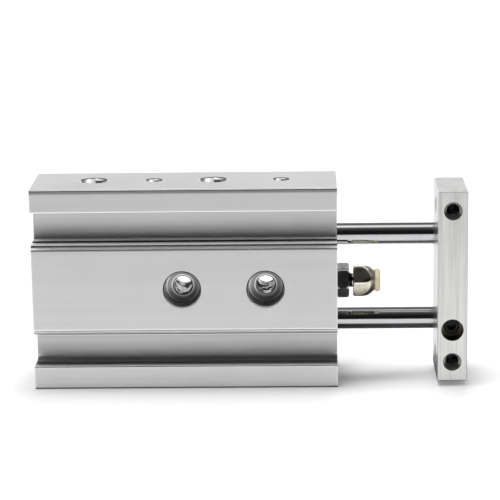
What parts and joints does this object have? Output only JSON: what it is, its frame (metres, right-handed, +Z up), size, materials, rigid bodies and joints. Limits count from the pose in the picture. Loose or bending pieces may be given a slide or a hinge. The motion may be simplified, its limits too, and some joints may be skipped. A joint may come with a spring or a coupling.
{
  "type": "guided pneumatic cylinder",
  "caption": "Twin-rod guided pneumatic cylinder: a grooved aluminium body drives two chromed rods joined by a tapped end plate, with an adjustable return stop between them.",
  "frame": {"origin": "centre of the body's lower narrow side, on which the cylinder stands", "axes": "+X is the way the rods run out, +Z is up across the two rods, and -Y is the side with the sensor grooves"},
  "size_m": [0.0789, 0.0164, 0.037],
  "materials": {
    "anodised_aluminium": "satin clear anodised extrusion",
    "plate_aluminium": "brushed, clear anodised",
    "cover_aluminium": "turned",
    "piston_aluminium": "turned",
    "chromed_steel": "hard chromed and polished",
    "steel_fastener": "plated",
    "black_steel": "black oxide",
    "ring_steel": "phosphated spring steel",
    "black_nickel": "black nickel plated",
    "bright_nickel": "bright nickel plated",
    "guide_bronze": "turned bearing alloy",
    "magnet": "nickel plated magnet",
    "black_rubber": "moulded nitrile",
    "bumper_rubber": "moulded urethane",
    "cream_urethane": "moulded urethane"
  },
  "bodies": {
    "body": {"housing": "anodised_aluminium", "stop_lock_nut": "black_nickel", "head_port_plug": "steel_fastener", "rod_port_plug": "steel_fastener", "upper_rod_guide": "guide_bronze", "upper_guide_o_ring": "black_rubber", "upper_rod_seal": "black_rubber", "upper_seal_washer": "steel_fastener", "upper_rod_end_ring": "ring_steel", "upper_head_cover": "cover_aluminium", "upper_head_o_ring": "black_rubber", "upper_head_bumper": "bumper_rubber", "upper_head_end_ring": "ring_steel", "lower_rod_guide": "guide_bronze", "lower_guide_o_ring": "black_rubber", "lower_rod_seal": "black_rubber", "lower_seal_washer": "steel_fastener", "lower_rod_end_ring": "ring_steel", "lower_head_cover": "cover_aluminium", "lower_head_o_ring": "black_rubber", "lower_head_bumper": "bumper_rubber", "lower_head_end_ring": "ring_steel"},
    "slide_unit": {"end_plate": "plate_aluminium", "plate_screw": "steel_fastener", "rod_set_screw": "black_steel", "upper_rod": "chromed_steel", "upper_piston": "piston_aluminium", "upper_piston_seal": "black_rubber", "upper_magnet": "magnet", "upper_magnet_retainer": "piston_aluminium", "upper_piston_screw": "steel_fastener", "upper_piston_bumper": "bumper_rubber", "lower_rod": "chromed_steel", "lower_piston": "piston_aluminium", "lower_piston_seal": "black_rubber", "lower_magnet": "magnet", "lower_magnet_retainer": "piston_aluminium", "lower_piston_screw": "steel_fastener", "lower_piston_bumper": "bumper_rubber"},
    "stop_pad": {"stop_bumper": "cream_urethane"},
    "stop_bolt": {"stop_screw": "bright_nickel"}
  },
  "joints": [
    {"name": "rod_travel", "type": "slide", "parent": "body", "child": "slide_unit", "axis": [1, 0, 0], "range_m": [-0.01, 0]},
    {"name": "stop_advance", "type": "slide", "parent": "body", "child": "stop_pad", "axis": [1, 0, 0], "range_m": [-0.0005, 0.000125]},
    {"name": "stop_turn", "type": "hinge", "parent": "stop_pad", "child": "stop_bolt", "pos_m": [0.02765, -0.0017, 0.0185], "axis": [1, 0, 0], "range_deg": [-361, 91]}
  ],
  "couplings": [
    {"joint": "stop_turn", "follows": "stop_advance", "rad_per_m": 12566}
  ]
}
